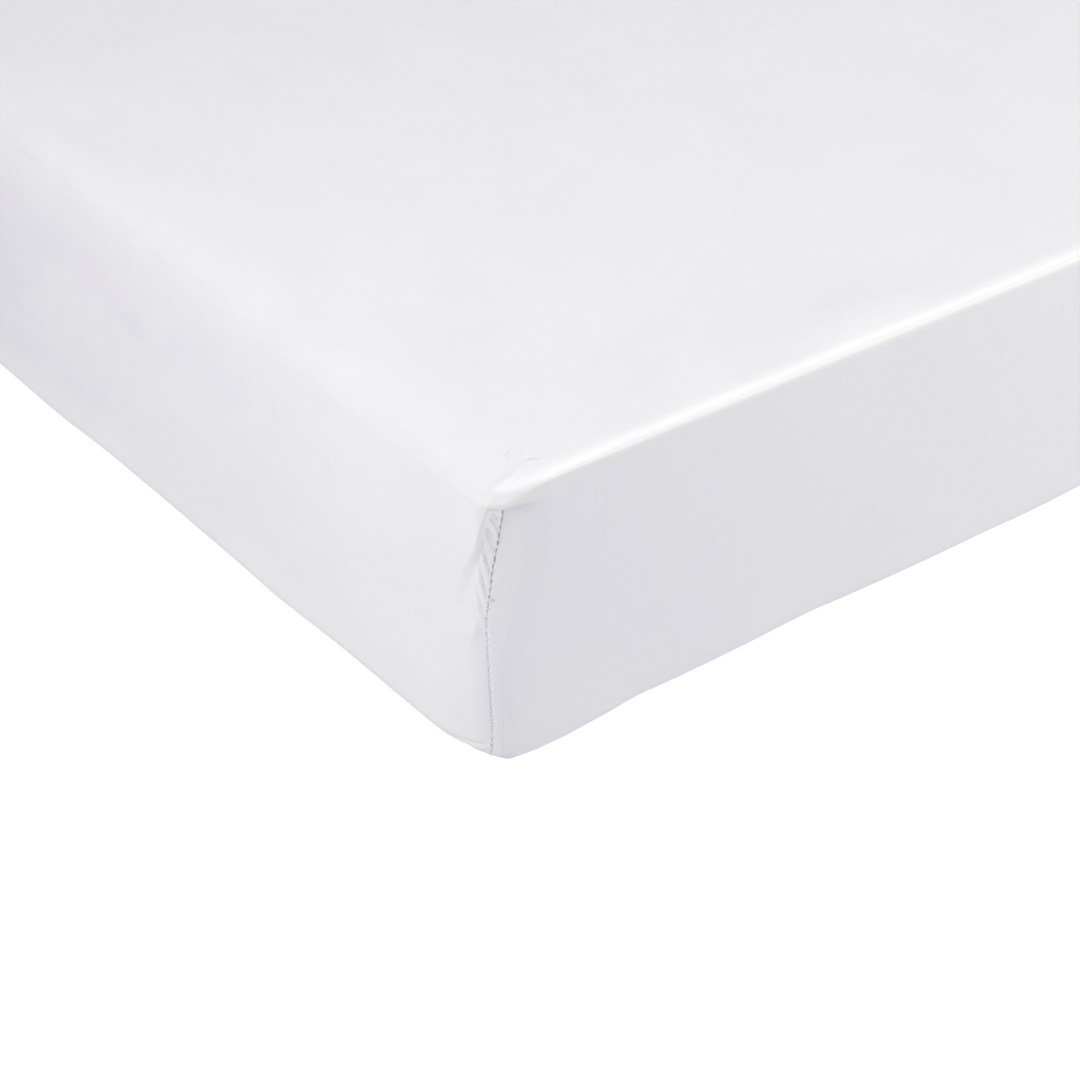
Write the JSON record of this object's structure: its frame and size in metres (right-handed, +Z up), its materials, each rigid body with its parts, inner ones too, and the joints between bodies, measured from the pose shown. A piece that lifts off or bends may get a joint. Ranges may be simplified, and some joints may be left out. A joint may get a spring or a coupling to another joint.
{
  "type": "fitted sheet on a mattress",
  "caption": "White cotton fitted sheet drawn over a plain single mattress, with a stitched seam down each corner and its hem turned in underneath.",
  "frame": {"origin": "on the floor under the middle of the bed", "axes": "+Z up, +Y along the length from the foot to the head, +X across the width"},
  "size_m": [0.9, 2, 0.2],
  "materials": {
    "white_cotton": "smooth, finely woven white cotton with a soft sheen",
    "mattress_ticking": "plain matte off-white knitted mattress cover"
  },
  "bodies": {
    "root": {"fitted_sheet": "white_cotton", "mattress": "mattress_ticking"}
  },
  "joints": []
}
